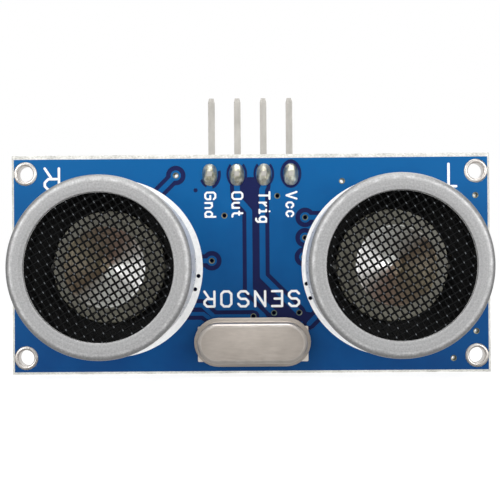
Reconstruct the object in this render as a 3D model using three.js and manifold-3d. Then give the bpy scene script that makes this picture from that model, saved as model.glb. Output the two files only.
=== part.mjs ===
// Ultrasonic distance sensor: a printed circuit board carrying two 40 kHz transducers (a receiver and a
// transmitter), a low-profile quartz crystal, a four-pin header and, on its back, the chips that drive and read them.
// Millimetres. Origin: centre of the four-screw pattern, on the back face of the board.
// +X runs along the board, +Y out of its back, +Z along the header pins. The transducers face -Y.

import * as THREE from "three";
import Module from "manifold-3d";

// ---- driving dimensions ----

const BOARD_LENGTH = 45;
const BOARD_HEIGHT = 20.5;
const BOARD_THICKNESS = 1.6;

const SCREW_SPACING_X = 42.3;
const SCREW_SPACING_Z = 17.3;
const SCREW_HOLE_RADIUS = 0.75;
const SCREW_PAD_RADIUS = 1.1;
const PLATING = 0.1; // lining of a screw hole
const PAD_HEIGHT = 0.05; // of a screw-hole pad above the board

const TRANSDUCER_SPACING = 26;
const TRANSDUCER_Z = -0.15; // the transducers sit a little below the middle of the board
const CAN_RADIUS = 8; // at the front; the drawn can narrows a little towards the board
const CAN_BASE_RADIUS = 7.9;
const CAN_HEIGHT = 12;
const CAN_WALL = 0.45;
const CAN_BORE = CAN_BASE_RADIUS - CAN_WALL; // inside radius
const CAN_EDGE_RADIUS = 0.5;
const CAN_MOUTH_RADIUS = 6.45;
const SCREEN_THICKNESS = 0.25;
const BASE_THICKNESS = 1.6;
const PIEZO_RADIUS = 3.1;
const PIEZO_THICKNESS = 0.3;
const DIAPHRAGM_RADIUS = 5.15;
const DIAPHRAGM_THICKNESS = 0.25;
const DIAPHRAGM_BACK = 2.5; // height of its back face over the board
const CONE_MOUTH_RADIUS = 3.65;
const CONE_FOOT_RADIUS = 1.1;
const CONE_LIP_HEIGHT = 6.9; // over the board
const CONE_WALL = 0.2;
const TRANSDUCER_PIN_SPACING = 10;
const TRANSDUCER_PIN_RADIUS = 0.5;
const LEAD_WIRE_RADIUS = 0.1;

const HEADER_PITCH = 2.54;
const HEADER_PINS = 4;
const HEADER_ROW_Z = 8.5;
const PIN_WIDTH = 0.64;
const PIN_TIP_Z = 16.3;
const PIN_OFFSET = 4.55; // centre line of the upright legs behind the board
const PIN_BEND_RADIUS = 0.8;

const CRYSTAL_X = 0.1;
const CRYSTAL_Z = -7.25;
const CRYSTAL_LEAD_SPACING = 4.88;
const CRYSTAL_LEAD_RADIUS = 0.215;
const CRYSTAL_FLANGE_LENGTH = 10.9;
const CRYSTAL_FLANGE_WIDTH = 4.55;
const CRYSTAL_CAN_LENGTH = 10.1;
const CRYSTAL_CAN_WIDTH = 3.75;
const CRYSTAL_TOP = 3.4; // over the board
const SPACER_THICKNESS = 0.25;

const LEAD_STUB = 1; // soldered lead ends stand this far out of the back of the board
const FIT_GAP = 0.05; // between a lead and its hole

// ---- materials ----

function material(color, roughness, metalness) {
  return new THREE.MeshStandardMaterial({ color, roughness, metalness });
}

const LAMINATE = material(0x12559a, 0.5, 0);
const ALUMINIUM = material(0xb4b4b4, 0.35, 1);
const TIN = material(0xc9c7c0, 0.3, 1);
const STEEL = material(0xb8aea6, 0.3, 1);
const BRASS = material(0xb08d57, 0.35, 1);
const BLACK_MESH = material(0x151515, 0.6, 0.5);
const BLACK_PLASTIC = material(0x181818, 0.6, 0);
const WHITE_PLASTIC = material(0xddd6cc, 0.6, 0);
const SILICONE = material(0xd8d8d4, 0.7, 0);
const CERAMIC = material(0xe8e4d8, 0.5, 0);
const CAPACITOR_CERAMIC = material(0x9a7a52, 0.5, 0);
const QUARTZ = material(0xe6f0f2, 0.1, 0);

// ---- the assembly and its helpers ----

const sensor = new THREE.Group();

function add(name, geometry, pieceMaterial) {
  const mesh = new THREE.Mesh(geometry, pieceMaterial);
  mesh.name = name;
  sensor.add(mesh);
  return mesh;
}

// The y coordinate of a point that stands `height` in front of the board.
function inFront(height) {
  return -BOARD_THICKNESS - height;
}

// Corners of a regular polygon that stands for a circle in the board's plane.
function circlePoints(x, z, radius, sides = 16) {
  const points = [];
  for (let i = 0; i < sides; i++) {
    const angle = (2 * Math.PI * i) / sides;
    points.push(new THREE.Vector2(x + radius * Math.cos(angle), z + radius * Math.sin(angle)));
  }
  return points;
}

function rectanglePoints(x, z, length, height) {
  const halfLength = length / 2;
  const halfHeight = height / 2;
  return [
    new THREE.Vector2(x - halfLength, z - halfHeight),
    new THREE.Vector2(x + halfLength, z - halfHeight),
    new THREE.Vector2(x + halfLength, z + halfHeight),
    new THREE.Vector2(x - halfLength, z + halfHeight),
  ];
}

// A plate whose outline and holes are drawn in the board's plane, reaching from yFront back to yBack.
function plate(outline, holes, yFront, yBack) {
  const shape = new THREE.Shape(outline);
  shape.holes = holes.map((hole) => new THREE.Path(hole));
  const geometry = new THREE.ExtrudeGeometry(shape, { depth: yBack - yFront, bevelEnabled: false });
  geometry.rotateX(Math.PI / 2);
  geometry.translate(0, yBack, 0);
  return geometry;
}

// A round body on a front-to-back axis through (x, z). The profile lists [radius, height over the board].
function turned(x, z, profile, sides) {
  const points = profile.map(([radius, height]) => new THREE.Vector2(radius, inFront(height)));
  const geometry = new THREE.LatheGeometry(points.reverse(), sides);
  geometry.translate(x, 0, z);
  return geometry;
}

// A closed surface over rings of points that all have the same number of corners, with flat ends.
function skinned(rings) {
  const corners = rings[0].length;
  const positions = rings.flat().flatMap((point) => [point.x, point.y, point.z]);
  const faces = [];
  for (let ring = 0; ring + 1 < rings.length; ring++) {
    for (let i = 0; i < corners; i++) {
      const a = ring * corners + i;
      const b = ring * corners + ((i + 1) % corners);
      faces.push(a, b, b + corners, a, b + corners, a + corners);
    }
  }
  const last = (rings.length - 1) * corners;
  for (let i = 1; i + 1 < corners; i++) {
    faces.push(0, i + 1, i, last, last + i, last + i + 1);
  }
  const geometry = new THREE.BufferGeometry();
  geometry.setAttribute("position", new THREE.Float32BufferAttribute(positions, 3));
  geometry.setIndex(faces);
  return geometry;
}

// A ring of points round a stadium (a rectangle with round ends) that stands `height` in front of the board.
function stadiumRing(x, z, length, width, height, sidesPerEnd = 12) {
  const radius = width / 2;
  const straight = length / 2 - radius;
  const points = [];
  for (const [side, start] of [[1, -Math.PI / 2], [-1, Math.PI / 2]]) {
    for (let i = 0; i <= sidesPerEnd; i++) {
      const angle = start + (Math.PI * i) / sidesPerEnd;
      const px = x + side * straight + radius * Math.cos(angle);
      points.push(new THREE.Vector3(px, inFront(height), z + radius * Math.sin(angle)));
    }
  }
  return points;
}

const wasm = await Module();
wasm.setup();

// A geometry as a manifold-3d solid, with the corners its faces share merged.
function solidOf(geometry) {
  const source = geometry.index ? geometry.toNonIndexed() : geometry;
  const position = source.getAttribute("position");
  const seen = new Map();
  const vertices = [];
  const triangles = [];
  for (let i = 0; i < position.count; i++) {
    const corner = [position.getX(i), position.getY(i), position.getZ(i)];
    const key = corner.map((value) => Math.round(value * 1e4)).join();
    if (!seen.has(key)) {
      seen.set(key, vertices.length / 3);
      vertices.push(...corner);
    }
    triangles.push(seen.get(key));
  }
  return new wasm.Manifold(
    new wasm.Mesh({
      numProp: 3,
      vertProperties: new Float32Array(vertices),
      triVerts: new Uint32Array(triangles),
    }),
  );
}

function geometryOf(solid) {
  const mesh = solid.getMesh();
  const geometry = new THREE.BufferGeometry();
  geometry.setAttribute("position", new THREE.BufferAttribute(mesh.vertProperties, 3));
  geometry.setIndex(new THREE.BufferAttribute(mesh.triVerts, 1));
  return geometry.toNonIndexed();
}

function joined(geometries) {
  return geometryOf(wasm.Manifold.union(geometries.map(solidOf)));
}

function cut(geometry, tools) {
  return geometryOf(solidOf(geometry).subtract(wasm.Manifold.union(tools.map(solidOf))));
}

// ---- positions that several pieces share ----

const receiverX = -TRANSDUCER_SPACING / 2;
const transmitterX = TRANSDUCER_SPACING / 2;

const screwHoles = [];
for (const [sideX, wordX] of [[-1, "left"], [1, "right"]]) {
  for (const [sideZ, wordZ] of [[-1, "lower"], [1, "upper"]]) {
    screwHoles.push({
      name: `${wordZ}_${wordX}`,
      x: (sideX * SCREW_SPACING_X) / 2,
      z: (sideZ * SCREW_SPACING_Z) / 2,
    });
  }
}

const headerPinX = [];
for (let i = 0; i < HEADER_PINS; i++) {
  headerPinX.push((i - (HEADER_PINS - 1) / 2) * HEADER_PITCH);
}

const transducerPinX = [receiverX, transmitterX].flatMap((x) => [
  x - TRANSDUCER_PIN_SPACING / 2,
  x + TRANSDUCER_PIN_SPACING / 2,
]);

const crystalLeadX = [-1, 1].map((side) => CRYSTAL_X + (side * CRYSTAL_LEAD_SPACING) / 2);

// ---- board ----

function circuitBoard() {
  const screwDrill = SCREW_HOLE_RADIUS + PLATING + FIT_GAP;
  const pinDrill = PIN_WIDTH / Math.SQRT2 + FIT_GAP;
  const holes = [
    ...screwHoles.map(({ x, z }) => circlePoints(x, z, screwDrill, 32)),
    ...headerPinX.map((x) => circlePoints(x, HEADER_ROW_Z, pinDrill)),
    ...transducerPinX.map((x) => circlePoints(x, TRANSDUCER_Z, TRANSDUCER_PIN_RADIUS + FIT_GAP)),
    ...crystalLeadX.map((x) => circlePoints(x, CRYSTAL_Z, CRYSTAL_LEAD_RADIUS + FIT_GAP)),
  ];
  const outline = rectanglePoints(0, 0, BOARD_LENGTH, BOARD_HEIGHT);
  add("circuit_board", plate(outline, holes, inFront(0), 0), LAMINATE);
}

// The tinned pad ring on both faces of the board and the plated lining that joins them through the hole.
function screwHolePlating({ name, x, z }) {
  const bore = SCREW_HOLE_RADIUS;
  const lining = SCREW_HOLE_RADIUS + PLATING;
  const front = PAD_HEIGHT;
  const back = -BOARD_THICKNESS - PAD_HEIGHT;
  const profile = [
    [bore, back],
    [SCREW_PAD_RADIUS, back],
    [SCREW_PAD_RADIUS, -BOARD_THICKNESS],
    [lining, -BOARD_THICKNESS],
    [lining, 0],
    [SCREW_PAD_RADIUS, 0],
    [SCREW_PAD_RADIUS, front],
    [bore, front],
    [bore, back],
  ];
  add(`screw_hole_${name}`, turned(x, z, profile, 32), TIN);
}

// ---- transducers ----

function transducerCan(name, x) {
  const profile = [
    [CAN_BORE, 0],
    [CAN_BASE_RADIUS, 0],
  ];
  const edgeSteps = 5;
  for (let i = 0; i <= edgeSteps; i++) {
    const angle = (Math.PI / 2) * (i / edgeSteps);
    profile.push([
      CAN_RADIUS - CAN_EDGE_RADIUS * (1 - Math.cos(angle)),
      CAN_HEIGHT - CAN_EDGE_RADIUS * (1 - Math.sin(angle)),
    ]);
  }
  profile.push(
    [CAN_MOUTH_RADIUS, CAN_HEIGHT],
    [CAN_MOUTH_RADIUS, CAN_HEIGHT - CAN_WALL],
    [CAN_BORE, CAN_HEIGHT - CAN_WALL],
    [CAN_BORE, 0],
  );
  add(`${name}_can`, turned(x, TRANSDUCER_Z, profile, 64), ALUMINIUM);
}

function transducerScreen(name, x) {
  const radius = CAN_BORE - FIT_GAP;
  const front = CAN_HEIGHT - CAN_WALL;
  const back = front - SCREEN_THICKNESS;
  const profile = [[0, back], [radius, back], [radius, front], [0, front]];
  add(`${name}_screen`, turned(x, TRANSDUCER_Z, profile, 48), BLACK_MESH);
}

function transducerBase(name, x) {
  const outline = circlePoints(x, TRANSDUCER_Z, CAN_BORE - FIT_GAP, 48);
  const pinX = [x - TRANSDUCER_PIN_SPACING / 2, x + TRANSDUCER_PIN_SPACING / 2];
  const pinHoles = pinX.map((px) => circlePoints(px, TRANSDUCER_Z, TRANSDUCER_PIN_RADIUS + FIT_GAP));
  add(`${name}_base`, plate(outline, pinHoles, inFront(BASE_THICKNESS), inFront(0)), BLACK_PLASTIC);
}

// The silicone seat is a ring with one slot, which lets the wire to the piezo disc through.
function transducerSeat(name, x) {
  const inner = PIEZO_RADIUS + 0.2;
  const outer = TRANSDUCER_PIN_SPACING / 2 - TRANSDUCER_PIN_RADIUS - 0.2;
  const slotAngle = 0.12;
  const steps = 32;
  const angles = [];
  for (let i = 0; i <= steps; i++) {
    angles.push(slotAngle + ((2 * Math.PI - 2 * slotAngle) * i) / steps);
  }
  const arc = (radius) =>
    angles.map((a) => new THREE.Vector2(x + radius * Math.cos(a), TRANSDUCER_Z + radius * Math.sin(a)));
  const outline = [...arc(outer), ...arc(inner).reverse()];
  add(`${name}_seat`, plate(outline, [], inFront(DIAPHRAGM_BACK), inFront(BASE_THICKNESS)), SILICONE);
}

function transducerDiscs(name, x) {
  const diaphragmFront = DIAPHRAGM_BACK + DIAPHRAGM_THICKNESS;
  const diaphragm = circlePoints(x, TRANSDUCER_Z, DIAPHRAGM_RADIUS, 40);
  add(`${name}_diaphragm`, plate(diaphragm, [], inFront(diaphragmFront), inFront(DIAPHRAGM_BACK)), ALUMINIUM);
  const piezo = circlePoints(x, TRANSDUCER_Z, PIEZO_RADIUS, 32);
  const piezoBack = DIAPHRAGM_BACK - PIEZO_THICKNESS;
  add(`${name}_piezo_disc`, plate(piezo, [], inFront(DIAPHRAGM_BACK), inFront(piezoBack)), CERAMIC);
}

function transducerCone(name, x) {
  const foot = DIAPHRAGM_BACK + DIAPHRAGM_THICKNESS;
  const profile = [
    [0, foot],
    [CONE_FOOT_RADIUS, foot],
    [CONE_MOUTH_RADIUS, CONE_LIP_HEIGHT],
    [CONE_MOUTH_RADIUS - CONE_WALL, CONE_LIP_HEIGHT],
    [CONE_FOOT_RADIUS - CONE_WALL, foot + CONE_WALL],
    [0, foot + CONE_WALL],
  ];
  add(`${name}_cone`, turned(x, TRANSDUCER_Z, profile, 48), ALUMINIUM);
}

const transducerPinTop = BASE_THICKNESS + 0.15;

function transducerPin(name, x) {
  const outline = circlePoints(x, TRANSDUCER_Z, TRANSDUCER_PIN_RADIUS);
  add(name, plate(outline, [], inFront(transducerPinTop), LEAD_STUB), TIN);
}

// A thin round wire along points given as [x, height over the board], level with the transducers' middle.
function leadWire(name, points) {
  const corners = points.map(([x, height]) => new THREE.Vector3(x, inFront(height), TRANSDUCER_Z));
  const path = new THREE.CatmullRomCurve3(corners);
  const section = new THREE.Shape(circlePoints(0, 0, LEAD_WIRE_RADIUS, 8));
  add(name, new THREE.ExtrudeGeometry(section, { steps: 12, extrudePath: path }), TIN);
}

function transducer(name, x) {
  transducerCan(name, x);
  transducerScreen(name, x);
  transducerBase(name, x);
  transducerSeat(name, x);
  transducerDiscs(name, x);
  transducerCone(name, x);
  const pin = TRANSDUCER_PIN_SPACING / 2;
  transducerPin(`${name}_pin_signal`, x + pin);
  transducerPin(`${name}_pin_ground`, x - pin);
  const piezoBack = DIAPHRAGM_BACK - PIEZO_THICKNESS;
  leadWire(`${name}_wire_signal`, [
    [x + pin, transducerPinTop],
    [x + pin - 0.15, transducerPinTop + 0.17],
    [x + pin - 0.6, transducerPinTop + 0.2],
    [x + PIEZO_RADIUS - 0.4, transducerPinTop + 0.2],
    [x + PIEZO_RADIUS - 0.8, piezoBack],
  ]);
  leadWire(`${name}_wire_ground`, [
    [x - pin, transducerPinTop],
    [x - pin + 0.05, transducerPinTop + 0.2],
    [x - pin + 0.2, DIAPHRAGM_BACK - 0.2],
    [x - pin + 0.25, DIAPHRAGM_BACK],
  ]);
}

// ---- crystal ----

function crystalSpacer() {
  const leadHoles = crystalLeadX.map((x) => circlePoints(x, CRYSTAL_Z, CRYSTAL_LEAD_RADIUS + FIT_GAP));
  const outline = rectanglePoints(CRYSTAL_X + 0.05, CRYSTAL_Z - 0.2, 10.35, 3.3);
  add("crystal_spacer", plate(outline, leadHoles, inFront(SPACER_THICKNESS), inFront(0)), WHITE_PLASTIC);
}

const crystalBaseTop = SPACER_THICKNESS + 0.35;

function crystalBase() {
  const ring = stadiumRing(CRYSTAL_X, CRYSTAL_Z, CRYSTAL_FLANGE_LENGTH, CRYSTAL_FLANGE_WIDTH, 0);
  const outline = ring.map((point) => new THREE.Vector2(point.x, point.z));
  const leadHoles = crystalLeadX.map((x) => circlePoints(x, CRYSTAL_Z, CRYSTAL_LEAD_RADIUS + FIT_GAP));
  add("crystal_base", plate(outline, leadHoles, inFront(crystalBaseTop), inFront(SPACER_THICKNESS)), STEEL);
}

// The cover is a drawn cup with a flange. Its rings run out of the pocket, round the flange and over the shoulder.
function crystalCover() {
  const flangeTop = crystalBaseTop + 0.3;
  const shoulder = 0.35;
  const wall = 0.25;
  const ring = (inset, height) =>
    stadiumRing(CRYSTAL_X, CRYSTAL_Z, CRYSTAL_CAN_LENGTH - 2 * inset, CRYSTAL_CAN_WIDTH - 2 * inset, height);
  const flangeRing = (height) =>
    stadiumRing(CRYSTAL_X, CRYSTAL_Z, CRYSTAL_FLANGE_LENGTH, CRYSTAL_FLANGE_WIDTH, height);
  const rings = [ring(wall, CRYSTAL_TOP - wall), ring(wall, crystalBaseTop), flangeRing(crystalBaseTop)];
  rings.push(flangeRing(flangeTop), ring(0, flangeTop));
  const steps = 4;
  for (let i = 0; i <= steps; i++) {
    const angle = (Math.PI / 2) * (i / steps);
    rings.push(ring(shoulder * (1 - Math.cos(angle)), CRYSTAL_TOP - shoulder * (1 - Math.sin(angle))));
  }
  add("crystal_cover", skinned(rings), STEEL);
}

function crystal() {
  crystalSpacer();
  crystalBase();
  crystalCover();
  const leadTop = crystalBaseTop + 0.7;
  crystalLeadX.forEach((x, i) => {
    const outline = circlePoints(x, CRYSTAL_Z, CRYSTAL_LEAD_RADIUS);
    add(`crystal_lead_${i + 1}`, plate(outline, [], inFront(leadTop), LEAD_STUB), TIN);
  });
  const blank = rectanglePoints(CRYSTAL_X, CRYSTAL_Z, 7.6, 1.9);
  add("crystal_quartz_blank", plate(blank, [], inFront(leadTop + 0.15), inFront(leadTop)), QUARTZ);
}

// ---- header ----

// One strip of square cells whose corners are cut away, with a square hole for each pin.
function headerBody() {
  const cell = HEADER_PITCH / 2;
  const corner = 0.35;
  const bottom = [];
  const top = [];
  const cellCorners = [
    [-cell, cell - corner],
    [-cell + corner, cell],
    [cell - corner, cell],
    [cell, cell - corner],
  ];
  for (const x of headerPinX) {
    for (const [dx, dz] of cellCorners) {
      const isRepeat = dx === -cell && x !== headerPinX[0];
      if (!isRepeat) {
        bottom.push(new THREE.Vector2(x + dx, HEADER_ROW_Z - dz));
        top.push(new THREE.Vector2(x + dx, HEADER_ROW_Z + dz));
      }
    }
  }
  const pinHole = PIN_WIDTH + 2 * FIT_GAP;
  const holes = headerPinX.map((x) =>
    plate(rectanglePoints(x, HEADER_ROW_Z, pinHole, pinHole), [], -1, HEADER_PITCH + 1),
  );
  const block = plate([...bottom, ...top.reverse()], [], 0, HEADER_PITCH);
  add("header_body", cut(block, holes), BLACK_PLASTIC);
}

// A square pin runs back from the solder joint through board and body, then turns up.
function headerPin(name, x) {
  const tip = 0.4;
  const start = inFront(0.7);
  const bendY = PIN_OFFSET - PIN_BEND_RADIUS;
  const bendZ = HEADER_ROW_Z + PIN_BEND_RADIUS;
  const section = (y, z, angle, width) => {
    const half = width / 2;
    const up = new THREE.Vector3(0, -Math.sin(angle), Math.cos(angle)).multiplyScalar(half);
    const side = new THREE.Vector3(half, 0, 0);
    const centre = new THREE.Vector3(x, y, z);
    return [
      centre.clone().sub(side).sub(up),
      centre.clone().sub(side).add(up),
      centre.clone().add(side).add(up),
      centre.clone().add(side).sub(up),
    ];
  };
  const tipWidth = PIN_WIDTH * 0.7;
  const rings = [section(start, HEADER_ROW_Z, 0, tipWidth), section(start + tip, HEADER_ROW_Z, 0, PIN_WIDTH)];
  const steps = 6;
  for (let i = 0; i <= steps; i++) {
    const angle = (Math.PI / 2) * (i / steps);
    const y = bendY + PIN_BEND_RADIUS * Math.sin(angle);
    rings.push(section(y, bendZ - PIN_BEND_RADIUS * Math.cos(angle), angle, PIN_WIDTH));
  }
  rings.push(section(PIN_OFFSET, PIN_TIP_Z - tip, Math.PI / 2, PIN_WIDTH));
  rings.push(section(PIN_OFFSET, PIN_TIP_Z, Math.PI / 2, tipWidth));
  add(name, skinned(rings), TIN);
}

function header() {
  headerBody();
  headerPinX.forEach((x, i) => headerPin(`header_pin_${i + 1}`, x));
}

// ---- parts on the back ----

// A moulded package centred on the origin and standing on y = 0, its length along X.
function packageBody(length, width, height) {
  const standoff = 0.1;
  const draft = 0.12;
  const middle = (standoff + height) / 2;
  const section = [
    new THREE.Vector3(0, standoff, -width / 2 + draft),
    new THREE.Vector3(0, middle, -width / 2),
    new THREE.Vector3(0, height, -width / 2 + draft),
    new THREE.Vector3(0, height, width / 2 - draft),
    new THREE.Vector3(0, middle, width / 2),
    new THREE.Vector3(0, standoff, width / 2 - draft),
  ];
  const rings = [-length / 2, length / 2].map((x) => section.map((p) => new THREE.Vector3(x, p.y, p.z)));
  return skinned(rings);
}

// A gull-wing lead from inside the package out to its foot on the board, on the side given by +1 or -1.
function gullWing(x, side, bodyHalfWidth, footReach, leadWidth, exitHeight) {
  const thickness = 0.18;
  const knee = bodyHalfWidth + 0.3;
  const heel = footReach - 0.5;
  const slant = thickness * 0.6;
  const outline = [
    [bodyHalfWidth - 0.4, exitHeight],
    [knee - slant, exitHeight],
    [heel - slant, 0],
    [footReach, 0],
    [footReach, thickness],
    [heel, thickness],
    [knee, exitHeight + thickness],
    [bodyHalfWidth - 0.4, exitHeight + thickness],
  ];
  const shape = new THREE.Shape(outline.map(([reach, y]) => new THREE.Vector2(side * reach, y)));
  const geometry = new THREE.ExtrudeGeometry(shape, { depth: leadWidth, bevelEnabled: false });
  geometry.rotateY(-Math.PI / 2);
  geometry.translate(x + leadWidth / 2, 0, 0);
  return geometry;
}

// leadX lists where the leads of each side stand along the package: [those at -Z, those at +Z].
function surfacePackage(name, { x, z, quarterTurns, length, width, height, footReach, leadWidth, leadX }) {
  const pieces = [packageBody(length, width, height)];
  [-1, 1].forEach((side, i) => {
    for (const along of leadX[i]) {
      pieces.push(gullWing(along, side, width / 2, footReach, leadWidth, height * 0.45));
    }
  });
  const geometry = joined(pieces);
  geometry.rotateY((quarterTurns * Math.PI) / 2);
  geometry.translate(x, 0, z);
  add(name, geometry, BLACK_PLASTIC);
}

function smallOutlineChip(name, x, z, leadsPerSide, quarterTurns) {
  const pitch = 1.27;
  const leads = [];
  for (let i = 0; i < leadsPerSide; i++) {
    leads.push((i - (leadsPerSide - 1) / 2) * pitch);
  }
  const length = leadsPerSide * pitch - 0.25;
  const leadX = [leads, leads];
  const size = { length, width: 3.9, height: 1.5, footReach: 3, leadWidth: 0.42 };
  surfacePackage(name, { x, z, quarterTurns, leadX, ...size });
}

function transistor(name, x, z) {
  const size = { length: 2.9, width: 1.3, height: 1.05, footReach: 1.2, leadWidth: 0.4 };
  surfacePackage(name, { x, z, quarterTurns: 1, leadX: [[-0.95, 0.95], [0]], ...size });
}

// A two-terminal chip part, 1.6 by 0.8, lying along X or, upright, along Z.
function chipPart(name, x, z, isUpright, height, pieceMaterial) {
  const outline = isUpright ? rectanglePoints(x, z, 0.8, 1.6) : rectanglePoints(x, z, 1.6, 0.8);
  add(name, plate(outline, [], 0, height), pieceMaterial);
}

function backParts() {
  smallOutlineChip("amplifier_chip", receiverX, 0, 7, 1);
  smallOutlineChip("controller_chip", 0, -2.9, 8, 0);
  smallOutlineChip("driver_chip", transmitterX, 0, 8, 1);
  transistor("transistor", 7, 5.4);

  const capacitors = [
    { x: -2.5, z: 4.9, isUpright: true },
    { x: -6.1, z: -1.7, isUpright: true },
    { x: 2.6, z: 6.1, isUpright: false },
    { x: 5.1, z: 2.2, isUpright: true },
    { x: 3.2, z: 3.2, isUpright: true },
  ];
  capacitors.forEach(({ x, z, isUpright }, i) => {
    chipPart(`capacitor_${i + 1}`, x, z, isUpright, 0.8, CAPACITOR_CERAMIC);
  });

  const resistorPitch = 2.2;
  for (let i = 0; i < 4; i++) {
    chipPart(`resistor_${i + 1}`, receiverX + (i - 1.5) * resistorPitch, 6.8, true, 0.45, BLACK_PLASTIC);
  }
  for (let i = 0; i < 3; i++) {
    chipPart(`resistor_${i + 5}`, transmitterX + (i - 1) * resistorPitch, -7.2, true, 0.45, BLACK_PLASTIC);
  }
}

// ---- the whole sensor ----

circuitBoard();
screwHoles.forEach(screwHolePlating);
transducer("receiver", receiverX);
transducer("transmitter", transmitterX);
crystal();
header();
backParts();

export default sensor;
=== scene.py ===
import math
import random

import bpy
import bmesh
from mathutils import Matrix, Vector
from mathutils.geometry import delaunay_2d_cdt


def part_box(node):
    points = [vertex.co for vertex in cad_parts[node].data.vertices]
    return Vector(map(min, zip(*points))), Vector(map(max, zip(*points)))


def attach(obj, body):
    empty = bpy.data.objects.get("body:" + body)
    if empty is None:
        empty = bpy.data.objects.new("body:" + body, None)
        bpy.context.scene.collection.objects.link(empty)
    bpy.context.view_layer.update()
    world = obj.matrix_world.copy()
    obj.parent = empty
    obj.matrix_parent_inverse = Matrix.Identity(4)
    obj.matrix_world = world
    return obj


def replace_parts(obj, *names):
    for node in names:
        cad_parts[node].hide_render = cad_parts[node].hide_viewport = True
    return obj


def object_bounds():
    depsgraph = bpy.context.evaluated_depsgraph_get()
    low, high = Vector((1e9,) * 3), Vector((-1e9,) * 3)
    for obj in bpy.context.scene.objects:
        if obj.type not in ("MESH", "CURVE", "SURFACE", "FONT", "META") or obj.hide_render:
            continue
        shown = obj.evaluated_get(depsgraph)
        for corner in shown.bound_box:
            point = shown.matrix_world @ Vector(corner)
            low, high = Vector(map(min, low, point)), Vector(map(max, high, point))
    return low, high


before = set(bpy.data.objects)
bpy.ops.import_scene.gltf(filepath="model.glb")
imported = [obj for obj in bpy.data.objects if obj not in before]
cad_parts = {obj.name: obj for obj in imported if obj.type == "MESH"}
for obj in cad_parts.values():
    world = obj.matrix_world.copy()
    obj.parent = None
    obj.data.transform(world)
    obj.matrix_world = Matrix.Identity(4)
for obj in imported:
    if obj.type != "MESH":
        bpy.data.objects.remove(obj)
cad_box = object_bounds()
random.seed(7)

MM = 0.001  # shapes are worked out in millimetres and stored in metres


# ---- where the CAD pieces are, in millimetres ----


def box_mm(node):
    low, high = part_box(node)
    return Vector(low) / MM, Vector(high) / MM


def centre_mm(node):
    low, high = box_mm(node)
    return (low + high) / 2


def place_of(node):
    """The middle of a node in the board's plane, as (x, z)."""
    centre = centre_mm(node)
    return centre.x, centre.z


BOARD_LOW, BOARD_HIGH = box_mm("circuit_board")
BOARD_FRONT = BOARD_LOW.y
BOARD_BACK = BOARD_HIGH.y
FRONT = (BOARD_FRONT, -1)  # a face of the board: its plane and the way it looks along Y
BACK = (BOARD_BACK, 1)


def off_face(face, height):
    """The y of a point that stands that height over a face of the board."""
    plane, way = face
    return plane + way * height


def over_face(face, profile):
    """A profile given as (radius, height over the face) as (radius, y)."""
    return [(radius, off_face(face, height)) for radius, height in profile]


# ---- mesh helpers ----


def add_object(name, data):
    made = bpy.data.objects.new(name, data)
    bpy.context.scene.collection.objects.link(made)
    return made


class Shape:
    """Points and faces that several forms are gathered into, so that they make one piece."""

    def __init__(self):
        self.points = []
        self.faces = []
        self.marks = []

    def take(self, points, faces, mark=0):
        """Adds faces that carry the material of that number."""
        start = len(self.points)
        self.points += [tuple(p) for p in points]
        self.faces += [[start + i for i in face] for face in faces]
        self.marks += [mark] * len(faces)

    def cap(self, ring, mark=0):
        self.take(ring, [range(len(ring))], mark)

    def rings(self, rings, mark=0, closed=False, capped=True):
        """A skin over rings that all have the same number of points."""
        count = len(rings[0])
        last = len(rings) - 1
        pairs = [(i, i + 1) for i in range(last)]
        if closed:
            pairs.append((last, 0))
        faces = []
        for low, high in pairs:
            for i in range(count):
                j = (i + 1) % count
                faces.append([low * count + i, low * count + j, high * count + j, high * count + i])
        if capped and not closed:
            faces.append(list(range(count))[::-1])
            faces.append([last * count + i for i in range(count)])
        self.take([p for ring in rings for p in ring], faces, mark)

    def piece(self, name, materials, slot, smooth=0.6):
        """The mesh, which rides with the part. Edges sharper than smooth, in radians, stay sharp."""
        mesh = bpy.data.meshes.new(name)
        mesh.from_pydata([Vector(p) * MM for p in self.points], [], self.faces)
        for material in materials:
            mesh.materials.append(material)
        mesh.polygons.foreach_set("material_index", self.marks)
        shell = bmesh.new()
        shell.from_mesh(mesh)
        bmesh.ops.remove_doubles(shell, verts=shell.verts, dist=1e-8)
        bmesh.ops.recalc_face_normals(shell, faces=shell.faces)
        shell.to_mesh(mesh)
        shell.free()
        mesh.shade_smooth()
        mesh.set_sharp_from_angle(angle=smooth)
        piece = add_object(name, mesh)
        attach(piece, "root")
        return piece


# ---- outlines in the board's plane, as (x, z) ----


def sides_of(polygon):
    return list(zip(polygon, polygon[1:] + polygon[:1]))


def circle(x, z, radius, sides=24):
    turn = 2 * math.pi / sides
    return [(x + radius * math.cos(i * turn), z + radius * math.sin(i * turn)) for i in range(sides)]


def circles(places, radius, sides=24):
    return [circle(x, z, radius, sides) for x, z in places]


def rectangle(x, z, length, height):
    a, b = length / 2, height / 2
    return [(x - a, z - b), (x + a, z - b), (x + a, z + b), (x - a, z + b)]


def arc(centre_a, centre_b, radius, start, end, steps):
    """Points on an arc in any plane; angles in degrees."""
    points = []
    for i in range(steps + 1):
        angle = math.radians(start + (end - start) * i / steps)
        points.append((centre_a + radius * math.cos(angle), centre_b + radius * math.sin(angle)))
    return points


def stadium(x, z, length, width, steps=16):
    """Two half circles joined by straight sides."""
    radius = width / 2
    straight = length / 2 - radius
    right = arc(x + straight, z, radius, -90, 90, steps)
    return right + arc(x - straight, z, radius, 90, 270, steps)


def stroke(start, end, width, steps=5):
    """A straight line of that width with round ends."""
    angle = math.degrees(math.atan2(end[1] - start[1], end[0] - start[0]))
    round_end = arc(*end, width / 2, angle - 90, angle + 90, steps)
    return round_end + arc(*start, width / 2, angle + 90, angle + 270, steps)


def path(points, width):
    return [stroke(a, b, width) for a, b in zip(points, points[1:])]


def at_depth(outline, y):
    return [(x, y, z) for x, z in outline]


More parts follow.
